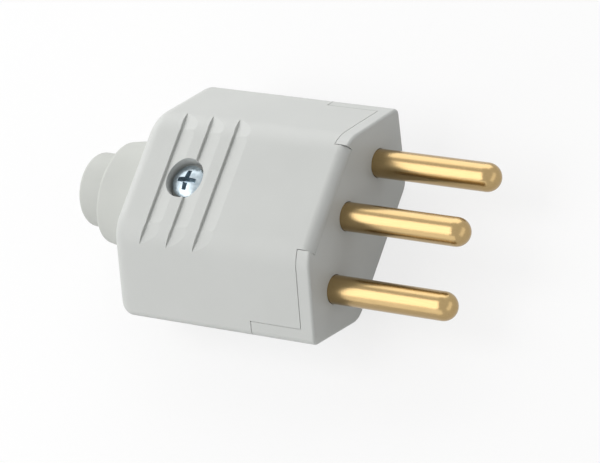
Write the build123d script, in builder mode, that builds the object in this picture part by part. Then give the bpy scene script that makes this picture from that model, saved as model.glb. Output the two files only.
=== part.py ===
from build123d import *
import os

# A rewireable three-pin mains plug: round brass pins in a two-part moulded housing.
# Millimetres. The origin is the middle of the pin face. +X runs out along the pins, +Y along
# the long side of the face, and +Z points to the side that the housing screw goes in from.

# Pins, turned from brass bar
pin_radius = 2.0
pin_reach = 19.0
pin_pitch = 19.0
earth_rise = 3.0
root_radius = 2.3
root_taper = 0.6
collar_radius = 3.2
collar_length = 1.2
waist_radius = 1.8
waist_length = 2.0
barrel_radius = 3.0
barrel_length = 9.0
barrel_chamfer = 0.3
wire_hole_radius = 1.3
wire_hole_depth = 7.0

# Terminal screws, M3 without a head
terminal_thread_radius = 1.5
terminal_screw_setback = 3.6
terminal_screw_lift = 0.4
terminal_screw_headroom = 0.3
terminal_screw_chamfer = 0.35
terminal_slot_width = 0.6
terminal_slot_depth = 0.7

# Outside of the housing; the widths are between sharp corners
face_width = 36.15
front_width = 17.4
front_depth = 9.0
rear_width = 20.8
rear_depth = 8.4
body_length = 32.8
ridge_radius = 1.0
front_corner_radius = 6.0
rear_corner_radius = 3.0
cable_end_radius = 2.5
face_edge_radius = 0.4

# Walls, and the joint between the two shells
wall = 1.9
pin_plate = 2.0
end_wall = 2.0
weld = 0.2
joint_gap = 0.1
tab_end = 10.1
tab_height = 1.5
tongue_width = 15.6
tongue_thickness = 1.5
tongue_edge_radius = 1.4
tongue_gap = 0.03
lip_thickness = 0.8
lip_height = 0.9
lip_root = 1.2
lip_clearance = 0.1
lip_margin = 1.0

# Cross walls and barriers inside the shells
rib_thickness = 1.4
barrier_thickness = 1.2
barrier_overrun = 2.0
seat_clearance = 0.1
fit_clearance = 0.05

# Grip grooves across the front: a steep wall, then a ramp back up to the surface. At both ends
# they dip and sweep back a little, to follow the rounded corners until they run out. The fall and
# the sweep are for each millimetre along the groove.
groove_count = 3
groove_pitch = 4.4
first_groove_setback = 18.2
groove_depth = 0.45
groove_ramp = 2.6
groove_straight = 7.2
groove_run_out = 4.0
groove_fall = 0.32
groove_sweep = 0.24

# Housing screw, M3 with a pan head, and its nut
screw_setback = 23.5
screw_thread_radius = 1.5
screw_end_sink = 1.45
screw_point = 0.5
screw_head_radius = 2.4
screw_head_height = 1.6
screw_head_rim = 1.0
screw_head_sink = 0.65
screw_clearance = 0.15
cross_width = 0.75
cross_length = 3.0
cross_depth = 1.1
cross_taper = 12
recess_radius = 2.95
boss_wall = 1.2
nut_across_flats = 5.5
nut_height = 2.4
nut_clearance = 0.1

# Cable sleeve: an oval collar, a round nose and a flange that the shells hold
collar_root_width = 17.2
collar_root_height = 11.8
collar_end_width = 14.8
collar_end_height = 11.6
sleeve_collar_length = 6.6
sleeve_collar_edge = 0.7
nose_radius = 5.3
nose_length = 3.8
nose_edge = 0.6
cable_hole_radius = 3.75
grip_hole_radius = 3.35
spigot_width = 14.0
spigot_height = 10.0
flange_thickness = 1.2
flange_margin = 1.1

# Places that follow from the sizes above
screw_x = -screw_setback
head_seat_z = front_depth - screw_head_sink - screw_head_height
screw_end_z = screw_end_sink - rear_depth
screw_length = head_seat_z - screw_end_z
nut_top_z = screw_end_z + nut_height
cavity_length = body_length - pin_plate - end_wall
waist_start = pin_plate + collar_length
barrel_start = waist_start + waist_length
barrel_end = barrel_start + barrel_length
terminal_screw_x = terminal_screw_setback - barrel_end
terminal_screw_low = earth_rise + terminal_screw_lift
terminal_screw_length = front_depth - wall - terminal_screw_headroom - terminal_screw_low
barrier_y = pin_pitch / 4
earth_block_width = 2 * barrier_y + barrier_thickness
sleeve_collar_end = body_length + sleeve_collar_length
nose_end = sleeve_collar_end + nose_length
pin_places = {
    "live": (pin_pitch / 2, 0.0),
    "neutral": (-pin_pitch / 2, 0.0),
    "earth": (0.0, earth_rise),
}

# The high end of each cross wall, with the radius of the pin there
cross_walls = (
    (-waist_start - (waist_length - rib_thickness) / 2, waist_radius),
    (rib_thickness - barrel_end, barrel_radius),
)


def housing_section(inset):
    """The six-sided section of the housing, with its outline drawn in by inset."""
    with BuildSketch() as section:
        with BuildLine():
            Polyline(
                (face_width / 2, 0),
                (front_width / 2, front_depth),
                (-front_width / 2, front_depth),
                (-face_width / 2, 0),
                (-rear_width / 2, -rear_depth),
                (rear_width / 2, -rear_depth),
                close=True,
            )
        make_face()
        fillet(section.vertices().group_by(Axis.Y)[-1], front_corner_radius)
        fillet(section.vertices().group_by(Axis.Y)[0], rear_corner_radius)
        columns = section.vertices().group_by(Axis.X)
        fillet(columns[0] + columns[-1], ridge_radius)
        if inset:
            offset(amount=-inset, kind=Kind.INTERSECTION)
    return section.sketch


def band(inset, low, high):
    """The housing's section, drawn in by inset, between the heights low and high."""
    with BuildSketch() as part_section:
        add(housing_section(inset))
        with Locations((0, low)):
            Rectangle(face_width, high - low, align=(Align.CENTER, Align.MIN), mode=Mode.INTERSECT)
    return part_section.sketch


def outer_form(edge_radius):
    """The closed outside of the housing, with edge_radius round the pin face."""
    with BuildPart() as form:
        with BuildSketch(Plane.YZ):
            add(housing_section(0))
        extrude(amount=-body_length)
        fillet(form.faces().sort_by(Axis.X)[0].edges(), cable_end_radius)
        fillet(form.faces().sort_by(Axis.X)[-1].edges(), edge_radius)
    return form.part


def hollow():
    """The room inside the shells, with the oval way out for the cable sleeve."""
    with BuildPart() as room:
        with BuildSketch(Plane.YZ.offset(-pin_plate)):
            add(housing_section(wall))
        extrude(amount=-cavity_length)
        with BuildSketch(Plane.YZ.offset(-body_length)):
            Ellipse(spigot_width / 2 + seat_clearance, spigot_height / 2 + seat_clearance)
        extrude(amount=end_wall)
    return room.part


def cover_space(grow, tongue_grow):
    """The room that the cover takes, grown by grow at the joint and tongue_grow under the tongue."""
    top = 2 * front_depth
    back_x = -2 * body_length
    step_x = -tab_end - joint_gap + grow
    step_z = tab_height + joint_gap - grow
    front_x = -pin_plate - joint_gap + grow
    with BuildPart() as space:
        with BuildSketch(Plane.XZ):
            with BuildLine():
                Polyline(
                    (back_x, -grow),
                    (step_x, -grow),
                    (step_x, step_z),
                    (front_x, step_z),
                    (front_x, top),
                    (back_x, top),
                    close=True,
                )
            make_face()
        extrude(amount=face_width, both=True)
        with BuildSketch(Plane.YZ.offset(-tab_end)):
            with Locations((0, front_depth - tongue_thickness - tongue_grow)):
                Rectangle(tongue_width + 2 * grow, front_depth, align=(Align.CENTER, Align.MIN))
        extrude(amount=2 * tab_end)
    return space.part


def pin_seats(radius):
    """Takes a round seat for each pin out of the sketch that is open."""
    with Locations(*pin_places.values()):
        Circle(radius, mode=Mode.SUBTRACT)


def groove_teeth(reach):
    """The saw-tooth profiles of the grip grooves, with X along the plug, up to the height reach."""
    with BuildSketch() as teeth:
        for step in range(groove_count):
            foot_x = -first_groove_setback - step * groove_pitch
            with BuildLine():
                Polyline(
                    (foot_x, reach),
                    (foot_x, front_depth - groove_depth),
                    (foot_x + groove_ramp, front_depth),
                    (foot_x + groove_ramp, reach),
                    close=True,
                )
            make_face()
    return teeth.sketch


# Rear body: one moulding with the pin plate, the side tabs, the pin seats and the nut's boss
nut_corner_radius = nut_across_flats / 3**0.5
rear_boss_radius = nut_corner_radius + nut_clearance + boss_wall
lip_start = tab_end + lip_margin
lip_length = body_length - end_wall - lip_margin - lip_start
with BuildPart() as rear_body:
    add(outer_form(face_edge_radius))
    add(hollow(), mode=Mode.SUBTRACT)
    add(cover_space(joint_gap, tongue_gap), mode=Mode.SUBTRACT)
    for wall_x, carried_radius in cross_walls:
        with BuildSketch(Plane.YZ.offset(wall_x)):
            add(band(wall - weld, -rear_depth, -joint_gap))
            with Locations((0, weld - rear_depth)):
                Rectangle(
                    earth_block_width,
                    rear_depth - weld + earth_rise,
                    align=(Align.CENTER, Align.MIN),
                )
            pin_seats(carried_radius + seat_clearance)
        extrude(amount=-rib_thickness)
    with BuildSketch(Plane.XY.offset(weld - rear_depth)):
        with Locations((-pin_plate + weld, barrier_y), (-pin_plate + weld, -barrier_y)):
            Rectangle(
                barrel_end + barrier_overrun - pin_plate + weld,
                barrier_thickness,
                align=(Align.MAX, Align.CENTER),
            )
    extrude(amount=rear_depth - weld + earth_rise)
    with BuildSketch(Plane.YZ.offset(-lip_start)):
        add(band(wall - weld, -lip_root, -joint_gap))
        add(band(wall + lip_clearance, -lip_root, lip_height))
        add(housing_section(wall + lip_thickness), mode=Mode.SUBTRACT)
    extrude(amount=-lip_length)
    with BuildSketch(Plane.XY.offset(weld - rear_depth)):
        with Locations((screw_x, 0)):
            Circle(rear_boss_radius)
    extrude(amount=rear_depth - weld)
    for y, z in pin_places.values():
        with BuildSketch(Plane((0, y, z))):
            with BuildLine():
                Polyline(
                    (0, 0),
                    (0, pin_radius + fit_clearance),
                    (-root_taper, root_radius + fit_clearance),
                    (-pin_plate, root_radius + fit_clearance),
                    (-pin_plate, 0),
                    close=True,
                )
            make_face()
        revolve(axis=Axis((0, y, z), (1, 0, 0)), mode=Mode.SUBTRACT)
    with Locations((screw_x, 0, 0)):
        Hole(screw_thread_radius + screw_clearance, depth=rear_depth)
    with BuildSketch(Plane.XY.offset(-rear_depth)):
        with Locations((screw_x, 0)):
            RegularPolygon(nut_corner_radius + nut_clearance, side_count=6)
    extrude(amount=rear_depth + nut_top_z, mode=Mode.SUBTRACT)
rear_body.part.label = "rear_body"

# Front cover: a moulded lid with a tongue over the pin plate, grip grooves and a screw recess
cover_boss_radius = recess_radius + boss_wall
cover_rib_low = max(tab_height, lip_height) + 2 * joint_gap
with BuildPart() as front_cover:
    add(outer_form(tongue_edge_radius))
    add(hollow(), mode=Mode.SUBTRACT)
    add(cover_space(0, 0), mode=Mode.INTERSECT)
    for wall_x, carried_radius in cross_walls:
        with BuildSketch(Plane.YZ.offset(wall_x)):
            add(band(wall - weld, cover_rib_low, front_depth))
            with Locations((0, joint_gap)):
                Rectangle(pin_pitch, cover_rib_low, align=(Align.CENTER, Align.MIN))
            Rectangle(
                earth_block_width + 2 * joint_gap,
                2 * (earth_rise + joint_gap),
                mode=Mode.SUBTRACT,
            )
            pin_seats(carried_radius + seat_clearance)
        extrude(amount=-rib_thickness)
    with BuildSketch(Plane.XY):
        with Locations((screw_x, 0)):
            Circle(cover_boss_radius)
    extrude(amount=front_depth - weld - groove_depth)
    with Locations((screw_x, 0, front_depth)):
        CounterBoreHole(
            radius=screw_thread_radius + screw_clearance,
            counter_bore_radius=recess_radius,
            counter_bore_depth=front_depth - head_seat_z,
            depth=2 * front_depth,
        )
    with BuildSketch(Plane.XZ):
        add(groove_teeth(2 * front_depth))
    extrude(amount=groove_straight, both=True, mode=Mode.SUBTRACT)
    for side in (1, -1):
        with BuildSketch(Plane.XZ.offset(-side * groove_straight)):
            add(groove_teeth(2 * front_depth))
        extrude(
            amount=groove_run_out,
            dir=(-groove_sweep, side, -groove_fall),
            mode=Mode.SUBTRACT,
        )
front_cover.part.label = "front_cover"

# Cable sleeve: one moulding, held between the shells by its flange
with BuildPart() as cable_sleeve:
    with BuildSketch(Plane.YZ.offset(-body_length)):
        Ellipse(collar_root_width / 2, collar_root_height / 2)
    with BuildSketch(Plane.YZ.offset(-sleeve_collar_end)):
        Ellipse(collar_end_width / 2, collar_end_height / 2)
    loft()
    fillet(cable_sleeve.faces().sort_by(Axis.X)[0].edges(), sleeve_collar_edge)
    with BuildSketch(Plane.YZ.offset(-sleeve_collar_end)):
        Circle(nose_radius)
    extrude(amount=-nose_length)
    fillet(cable_sleeve.faces().sort_by(Axis.X)[0].edges(), nose_edge)
    with BuildSketch(Plane.YZ.offset(-body_length)):
        Ellipse(spigot_width / 2, spigot_height / 2)
    extrude(amount=end_wall + fit_clearance)
    with BuildSketch(Plane.YZ.offset(fit_clearance + end_wall - body_length)):
        Ellipse(spigot_width / 2 + flange_margin, spigot_height / 2 + flange_margin)
    extrude(amount=flange_thickness)
    with BuildSketch(Plane.YZ.offset(-nose_end)):
        Circle(cable_hole_radius)
    extrude(amount=nose_end - body_length, mode=Mode.SUBTRACT)
    with BuildSketch(Plane.YZ.offset(-body_length)):
        Circle(grip_hole_radius)
    extrude(amount=end_wall + fit_clearance + flange_thickness, mode=Mode.SUBTRACT)
cable_sleeve.part.label = "cable_sleeve"


def turned_pin(y, z):
    """A pin with a domed tip, a collar behind the plate, a waist and a drilled barrel."""
    with BuildPart() as pin:
        with BuildSketch(Plane((0, y, z))):
            with BuildLine():
                Polyline(
                    (pin_reach - pin_radius, pin_radius),
                    (0, pin_radius),
                    (-root_taper, root_radius),
                    (-pin_plate, root_radius),
                    (-pin_plate, collar_radius),
                    (-waist_start, collar_radius),
                    (-waist_start, waist_radius),
                    (-barrel_start, waist_radius),
                    (-barrel_start, barrel_radius),
                    (barrel_chamfer - barrel_end, barrel_radius),
                    (-barrel_end, barrel_radius - barrel_chamfer),
                    (-barrel_end, 0),
                    (pin_reach, 0),
                )
                CenterArc((pin_reach - pin_radius, 0), pin_radius, 0, 90)
            make_face()
        revolve(axis=Axis((0, y, z), (1, 0, 0)))
        with Locations(Plane((-barrel_end, y, z), x_dir=(0, 1, 0), z_dir=(-1, 0, 0))):
            Hole(wire_hole_radius, depth=wire_hole_depth)
        with Locations((terminal_screw_x, y, z + barrel_radius)):
            Hole(terminal_thread_radius, depth=barrel_radius)
    return pin


def terminal_screw(y, z):
    """A headless screw with a slot, in the barrel of the pin at y, z."""
    radius = terminal_thread_radius - fit_clearance
    with BuildPart() as screw:
        with BuildSketch(Plane((terminal_screw_x, y, z + terminal_screw_lift))):
            Circle(radius)
        extrude(amount=terminal_screw_length)
        chamfer(screw.edges().group_by(Axis.Z)[0], terminal_screw_chamfer)
        top_z = z + terminal_screw_lift + terminal_screw_length
        with BuildSketch(Plane((terminal_screw_x, y, top_z))):
            Rectangle(terminal_slot_width, 2 * terminal_thread_radius)
        extrude(amount=-terminal_slot_depth, mode=Mode.SUBTRACT)
    return screw


# The three pins and their terminal screws
pins = []
terminal_screws = []
for name, place in pin_places.items():
    pin = turned_pin(*place)
    pin.part.label = f"{name}_pin"
    pins.append(pin)
    screw = terminal_screw(*place)
    screw.part.label = f"{name}_terminal_screw"
    terminal_screws.append(screw)

# Housing screw: zinc-plated steel, a pan head with a cross recess
shank_radius = screw_thread_radius - fit_clearance
with BuildPart() as housing_screw:
    with BuildSketch(Plane((screw_x, 0, head_seat_z), x_dir=(1, 0, 0), z_dir=(0, -1, 0))):
        with BuildLine():
            Polyline(
                (0, screw_head_height),
                (0, -screw_length),
                (shank_radius - screw_point, -screw_length),
                (shank_radius, screw_point - screw_length),
                (shank_radius, 0),
                (screw_head_radius, 0),
                (screw_head_radius, screw_head_rim),
            )
            TangentArc((0, screw_head_height), (screw_head_radius, screw_head_rim), tangent=(1, 0))
        make_face()
    revolve(axis=Axis((screw_x, 0, 0), (0, 0, 1)))
    with BuildSketch(Plane.XY.offset(head_seat_z + screw_head_height)):
        with Locations((screw_x, 0)):
            Rectangle(cross_length, cross_width)
            Rectangle(cross_width, cross_length)
    extrude(amount=-cross_depth, taper=cross_taper, mode=Mode.SUBTRACT)
housing_screw.part.label = "housing_screw"

# Housing nut: M3, in the pocket at the back
with BuildPart() as housing_nut:
    with BuildSketch(Plane.XY.offset(screw_end_z)):
        with Locations((screw_x, 0)):
            RegularPolygon(nut_corner_radius, side_count=6)
            Circle(screw_thread_radius, mode=Mode.SUBTRACT)
    extrude(amount=nut_height)
housing_nut.part.label = "housing_nut"

os.makedirs("parts", exist_ok=True)
shells = [rear_body, front_cover, cable_sleeve]
for piece in shells + pins + terminal_screws + [housing_screw, housing_nut]:
    export_step(piece.part, f"parts/{piece.part.label}.step")
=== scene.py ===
from math import pi

import bpy
from mathutils import Matrix, Vector


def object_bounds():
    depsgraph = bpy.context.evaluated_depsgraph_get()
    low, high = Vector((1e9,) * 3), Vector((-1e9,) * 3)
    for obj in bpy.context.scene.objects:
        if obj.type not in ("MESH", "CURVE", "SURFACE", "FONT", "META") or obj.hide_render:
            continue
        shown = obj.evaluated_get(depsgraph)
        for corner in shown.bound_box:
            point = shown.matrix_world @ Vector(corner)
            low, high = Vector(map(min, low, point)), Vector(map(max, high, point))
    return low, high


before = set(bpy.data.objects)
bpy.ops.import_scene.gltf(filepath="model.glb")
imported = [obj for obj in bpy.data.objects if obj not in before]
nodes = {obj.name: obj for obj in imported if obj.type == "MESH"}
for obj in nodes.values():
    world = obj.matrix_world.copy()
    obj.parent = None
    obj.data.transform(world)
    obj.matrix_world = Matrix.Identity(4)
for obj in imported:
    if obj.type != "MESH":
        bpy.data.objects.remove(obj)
cad_low, cad_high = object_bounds()

# Housing: two shells, injection moulded in light grey ABS and held together by one screw.
# The mould is lightly spark-eroded, so the surface is an even satin: highlights spread wide,
# and up close there is a fine grain.


def linear(code):
    """The linear colour, with alpha, of an sRGB hex code."""
    channels = [int(code[start : start + 2], 16) / 255 for start in (1, 3, 5)]
    return [c / 12.92 if c <= 0.04045 else ((c + 0.055) / 1.055) ** 2.4 for c in channels] + [1.0]


def add_node(owner, kind, settings=None, links=None):
    """One node of a material or world, with its settings by name or by place, and the outputs
    that feed its inputs."""
    tree = owner.node_tree
    node = tree.nodes.new(kind)
    for name, value in (settings or {}).items():
        if isinstance(name, int) or name in node.inputs:
            node.inputs[name].default_value = value
        else:
            setattr(node, name, value)
    for name, output in (links or {}).items():
        tree.links.new(output, node.inputs[name])
    return node


def new_material(name):
    """A material with no nodes yet."""
    material = bpy.data.materials.new(name)
    material.use_nodes = True
    material.node_tree.nodes.clear()
    return material


def tint(material, amount, low, high):
    """A colour that goes from low to high as amount rises through its middle."""
    middle = (0.3, 0.7)
    ramp = add_node(material, "ShaderNodeValToRGB", links={"Fac": amount})
    for element, position, code in zip(ramp.color_ramp.elements, middle, (low, high)):
        element.position = position
        element.color = linear(code)
    return ramp.outputs["Color"]


def dress(material, *names):
    """The CAD nodes of these names get the material."""
    for name in names:
        nodes[name].data.materials.clear()
        nodes[name].data.materials.append(material)


mm = 0.001
abs_satin = new_material("abs_moulded_satin")
place = add_node(abs_satin, "ShaderNodeTexCoord").outputs["Object"]
# The plastic's flow leaves patches, about a centimetre wide, that are a shade apart.
flow_width = 9 * mm
flow = add_node(
    abs_satin,
    "ShaderNodeTexNoise",
    {"Scale": 1 / flow_width, "Detail": 2.0, "Roughness": 0.5},
    {"Vector": place},
).outputs["Fac"]
# The real grain is under 0.1 mm. It is drawn at 0.3 mm, the finest that shows.
grain_width = 0.3 * mm
grain_height = 0.02 * mm
grain = add_node(
    abs_satin,
    "ShaderNodeTexNoise",
    {"Scale": 1 / grain_width, "Detail": 3.0, "Roughness": 0.6},
    {"Vector": place},
).outputs["Fac"]
satin = add_node(
    abs_satin, "ShaderNodeMapRange", {"To Min": 0.42, "To Max": 0.52}, {"Value": flow}
).outputs["Result"]
relief = add_node(
    abs_satin, "ShaderNodeBump", {"Strength": 0.15, "Distance": grain_height}, {"Height": grain}
).outputs["Normal"]
shader = add_node(
    abs_satin,
    "ShaderNodeBsdfPrincipled",
    {"IOR": 1.53},
    {
        "Base Color": tint(abs_satin, flow, "#CACCC9", "#CDCFCC"),
        "Roughness": satin,
        "Normal": relief,
    },
).outputs["BSDF"]
add_node(abs_satin, "ShaderNodeOutputMaterial", links={"Surface": shader})
dress(abs_satin, "rear_body", "front_cover")

# Cable sleeve: one moulding of softer PVC, held between the shells by its flange. It is nearly
# the housing's grey, but a touch warmer and duller.
pvc_soft = new_material("pvc_soft_moulded")
place = add_node(pvc_soft, "ShaderNodeTexCoord").outputs["Object"]
flow_width = 6 * mm
flow = add_node(
    pvc_soft, "ShaderNodeTexNoise", {"Scale": 1 / flow_width, "Detail": 2.0}, {"Vector": place}
).outputs["Fac"]
# The rubbery skin has a grain of about 0.4 mm.
grain_width = 0.4 * mm
grain = add_node(
    pvc_soft, "ShaderNodeTexNoise", {"Scale": 1 / grain_width, "Detail": 2.0}, {"Vector": place}
).outputs["Fac"]
relief = add_node(
    pvc_soft, "ShaderNodeBump", {"Strength": 0.2, "Distance": grain_height}, {"Height": grain}
).outputs["Normal"]
shader = add_node(
    pvc_soft,
    "ShaderNodeBsdfPrincipled",
    {"IOR": 1.52, "Roughness": 0.55},
    {"Base Color": tint(pvc_soft, flow, "#C7C9C4", "#CACCC7"), "Normal": relief},
).outputs["BSDF"]
add_node(pvc_soft, "ShaderNodeOutputMaterial", links={"Surface": shader})
dress(pvc_soft, "cable_sleeve")

# Pins: turned from brass bar and polished. Fine rings from the tool run round them, use has
# left faint scuffs along them, and the metal mirrors its surroundings in long bands.
brass = new_material("brass_turned_polished")
place = add_node(brass, "ShaderNodeTexCoord").outputs["Object"]
# The tool's feed is near 0.1 mm a turn. The rings are drawn 0.4 mm apart, coarse enough for a
# close view, and stay faint. A Wave texture at scale 1 has 20 / (2 pi) rings in a metre.
ring_spacing = 0.4 * mm
ring_scale = 2 * pi / 20 / ring_spacing
rings = add_node(
    brass,
    "ShaderNodeTexWave",
    {"bands_direction": "X", "Scale": ring_scale, "Distortion": 0.6, "Detail": 2.0},
    {"Vector": place},
).outputs["Fac"]
# Scuffs are about 0.2 mm wide and ten times as long.
scuff_width = 0.2 * mm
scuff_stretch = 10
along = add_node(
    brass, "ShaderNodeMapping", {"Scale": (1 / scuff_stretch, 1.0, 1.0)}, {"Vector": place}
).outputs["Vector"]
scuffs = add_node(
    brass,
    "ShaderNodeTexNoise",
    {"Scale": 1 / scuff_width, "Detail": 4.0, "Roughness": 0.65},
    {"Vector": along},
).outputs["Fac"]
mark_height = 0.01 * mm
ringed = add_node(
    brass, "ShaderNodeBump", {"Strength": 0.15, "Distance": mark_height}, {"Height": rings}
).outputs["Normal"]
relief = add_node(
    brass,
    "ShaderNodeBump",
    {"Strength": 0.08, "Distance": mark_height},
    {"Height": scuffs, "Normal": ringed},
).outputs["Normal"]
polish = add_node(
    brass, "ShaderNodeMapRange", {"To Min": 0.19, "To Max": 0.29}, {"Value": scuffs}
).outputs["Result"]
shader = add_node(
    brass,
    "ShaderNodeBsdfPrincipled",
    {"Metallic": 1.0},
    {
        "Base Color": tint(brass, scuffs, "#A89065", "#B0976C"),
        "Roughness": polish,
        "Normal": relief,
    },
).outputs["BSDF"]
add_node(brass, "ShaderNodeOutputMaterial", links={"Surface": shader})
dress(brass, "live_pin", "neutral_pin", "earth_pin")

# Screws and nut: cold-formed steel with a bright zinc plating, faintly blue. The plating is
# shiny but not even, so its reflections break up in small soft patches.
zinc = new_material("steel_zinc_plated")
place = add_node(zinc, "ShaderNodeTexCoord").outputs["Object"]
patch_width = 0.5 * mm
patch_height = 0.05 * mm
patches = add_node(
    zinc, "ShaderNodeTexNoise", {"Scale": 1 / patch_width, "Detail": 4.0}, {"Vector": place}
).outputs["Fac"]
dulled = add_node(
    zinc, "ShaderNodeMapRange", {"To Min": 0.24, "To Max": 0.4}, {"Value": patches}
).outputs["Result"]
relief = add_node(
    zinc, "ShaderNodeBump", {"Strength": 0.6, "Distance": patch_height}, {"Height": patches}
).outputs["Normal"]
shader = add_node(
    zinc,
    "ShaderNodeBsdfPrincipled",
    {"Metallic": 1.0},
    {
        "Base Color": tint(zinc, patches, "#9DABB3", "#B9C4CB"),
        "Roughness": dulled,
        "Normal": relief,
    },
).outputs["BSDF"]
add_node(zinc, "ShaderNodeOutputMaterial", links={"Surface": shader})
dress(zinc, "housing_screw", "housing_nut")
dress(zinc, "live_terminal_screw", "neutral_terminal_screw", "earth_terminal_screw")

# Table: a sheet of white paper that the plug lies on. To the camera it glows just enough to
# stay white. Round the plug a quarter of what is seen is plain paper, which keeps the plug's
# shadow, and that share fades out further away.


def background_seen(owner):
    """1 where a ray comes from the camera, direct or by way of metal or glass, and else 0."""
    ray = add_node(owner, "ShaderNodeLightPath").outputs
    seen = ray["Is Camera Ray"]
    for kind in ("Is Glossy Ray", "Is Transmission Ray"):
        seen = add_node(
            owner, "ShaderNodeMath", {"operation": "MAXIMUM"}, {0: seen, 1: ray[kind]}
        ).outputs["Value"]
    undiffused = add_node(
        owner, "ShaderNodeMath", {"operation": "LESS_THAN", 1: 0.5}, {0: ray["Diffuse Depth"]}
    ).outputs["Value"]
    return add_node(
        owner, "ShaderNodeMath", {"operation": "MULTIPLY"}, {0: seen, 1: undiffused}
    ).outputs["Value"]


shadow_kept = 0.25
shadow_full = 50 * mm
shadow_gone = 180 * mm
sheet_width = 6.0
white = "#FFFFFF"
paper = new_material("paper_white")
place = add_node(paper, "ShaderNodeTexCoord").outputs["Object"]
away = add_node(
    paper, "ShaderNodeVectorMath", {"operation": "LENGTH"}, {0: place}
).outputs["Value"]
plain = add_node(
    paper,
    "ShaderNodeMapRange",
    {"From Min": shadow_full, "From Max": shadow_gone, "To Min": shadow_kept, "To Max": 0.0},
    {"Value": away},
).outputs["Result"]
glow = add_node(paper, "ShaderNodeEmission", {"Color": linear(white)}).outputs["Emission"]
sheet = add_node(paper, "ShaderNodeBsdfDiffuse", {"Color": linear(white)}).outputs["BSDF"]
# Light that goes on to the plug leaves the paper as from a slightly grey sheet.
shade = add_node(paper, "ShaderNodeBsdfDiffuse", {"Color": linear("#C8C8C8")}).outputs["BSDF"]
shown = add_node(
    paper, "ShaderNodeMixShader", links={"Fac": plain, 1: glow, 2: sheet}
).outputs["Shader"]
surface = add_node(
    paper, "ShaderNodeMixShader", links={"Fac": background_seen(paper), 1: shade, 2: shown}
).outputs["Shader"]
add_node(paper, "ShaderNodeOutputMaterial", links={"Surface": surface})
bpy.ops.mesh.primitive_plane_add(size=sheet_width, location=(0, 0, cad_low.z))
table_top = bpy.context.object
table_top.name = "table_top"
table_top.data.materials.append(paper)

# Room: white all round. The camera and all that is mirrored see it at full white. It lights
# the plug at a third of that, dim enough for the lamps to give the plug its shape.
room_light = 0.34
background_light = 1.0
room = bpy.data.worlds.new("white_room")
bpy.context.scene.world = room
room.use_nodes = True
room.node_tree.nodes.clear()
strength = add_node(
    room,
    "ShaderNodeMapRange",
    {"To Min": room_light, "To Max": background_light},
    {"Value": background_seen(room)},
).outputs["Result"]
sky = add_node(
    room, "ShaderNodeBackground", {"Color": linear(white)}, {"Strength": strength}
).outputs["Background"]
add_node(room, "ShaderNodeOutputWorld", links={"Surface": sky})

# Lamps: four soft boxes. Three are towards the cable end: one overhead, which draws the long
# band on the pins, and one low on each long side. A weak one in front of the pins lifts the
# pin face, which is otherwise lit by the table and the room alone.


def soft_box(name, direction, along, size, distance, power):
    """A flat lamp, in metres and watts, that looks at the plug from a direction. The first
    side of its size runs along the given axis."""
    lamp = bpy.data.lights.new(name, "AREA")
    lamp.shape = "RECTANGLE"
    lamp.size, lamp.size_y = size
    lamp.energy = power
    away = Vector(direction).normalized()
    across = Vector(along) - away * away.dot(Vector(along))
    across.normalize()
    holder = bpy.data.objects.new(name, lamp)
    turn = Matrix((across, away.cross(across), away)).transposed().to_4x4()
    holder.matrix_world = Matrix.Translation(away * distance) @ turn
    bpy.context.scene.collection.objects.link(holder)


pin_way = (1, 0, 0)
face_way = (0, 1, 0)
soft_box(
    "overhead_box",
    direction=(-0.53, -0.3, 0.8),
    along=face_way,
    size=(0.58, 0.42),
    distance=0.6,
    power=1.8,
)
soft_box(
    "left_box",
    direction=(-0.5, 0.8, 0.32),
    along=pin_way,
    size=(1.8, 0.8),
    distance=0.9,
    power=7.6,
)
soft_box(
    "right_box",
    direction=(-0.4, -0.87, 0.28),
    along=pin_way,
    size=(1.0, 0.4),
    distance=0.6,
    power=0.95,
)
soft_box(
    "front_box",
    direction=(0.95, 0.0, 0.22),
    along=face_way,
    size=(1.1, 0.5),
    distance=0.9,
    power=1.15,
)

# Camera: above the pins and a little to their right, with a long lens from about half a metre
# away, as the plug was shown. Right, down and forward are the directions of its picture.
camera_place = Vector((237.78, -139.45, 366.79)) * mm
camera_right = Vector((0.8377712, 0.31950516, -0.44278196))
camera_down = Vector((0.12175541, -0.89981939, -0.41892801))
camera_forward = Vector((-0.53227346, 0.29705472, -0.79274426))
focal_length_in_mm = 203.3
sensor_width_in_mm = 36.0
nearest_shown = 10 * mm
lens = bpy.data.cameras.new("camera")
lens.lens = focal_length_in_mm
lens.sensor_width = sensor_width_in_mm
lens.clip_start = nearest_shown
camera = bpy.data.objects.new("camera", lens)
turn = Matrix((camera_right, -camera_down, -camera_forward)).transposed().to_4x4()
camera.matrix_world = Matrix.Translation(camera_place) @ turn
bpy.context.scene.collection.objects.link(camera)
bpy.context.scene.camera = camera
bpy.context.scene.view_settings.view_transform = "Standard"
